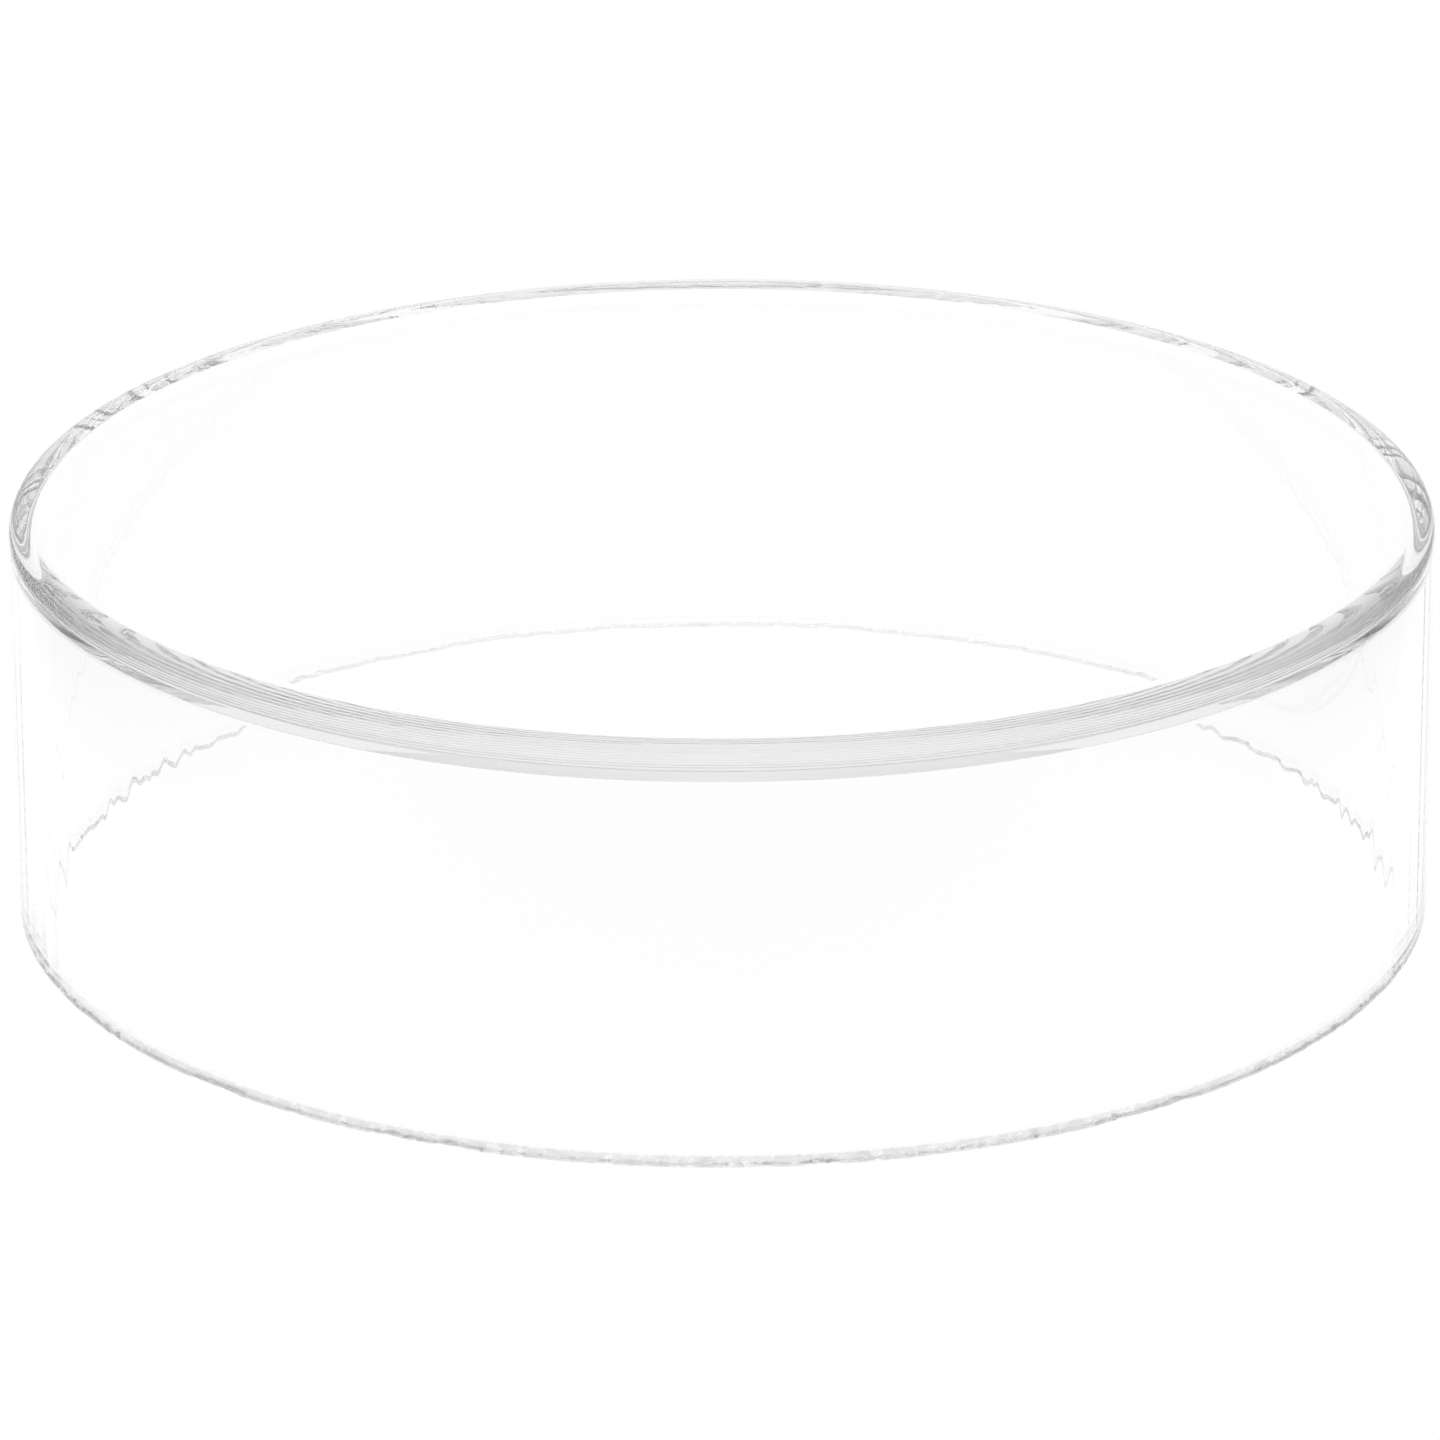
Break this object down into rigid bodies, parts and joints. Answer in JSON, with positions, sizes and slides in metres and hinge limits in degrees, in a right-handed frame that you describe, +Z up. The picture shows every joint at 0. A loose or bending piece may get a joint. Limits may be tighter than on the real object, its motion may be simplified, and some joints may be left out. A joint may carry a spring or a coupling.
{
  "type": "petri dish",
  "caption": "Round clear glass petri dish standing upside down, a shallow pan with an upright wall, and its wider, shallower loose lid beside it, which closes its open end.",
  "frame": {"origin": "centre of the ring that the dish's rim stands on, on the surface under it", "axes": "+Z up along the dish's axis, from its rim to its closed end; +X from the dish towards the lid beside it"},
  "size_m": [0.141, 0.06, 0.0161],
  "materials": {
    "dish_glass": "clear, fire-polished",
    "lid_glass": "clear, fire-polished"
  },
  "bodies": {
    "dish": {"dish": "dish_glass"},
    "lid": {"lid": "lid_glass"}
  },
  "joints": [
    {"name": "lid_turn", "type": "hinge", "parent": "dish", "child": "lid", "pos_m": [0.042, 0, 0.00473], "axis": [0, 1, 0], "range_deg": [0, 180]}
  ]
}
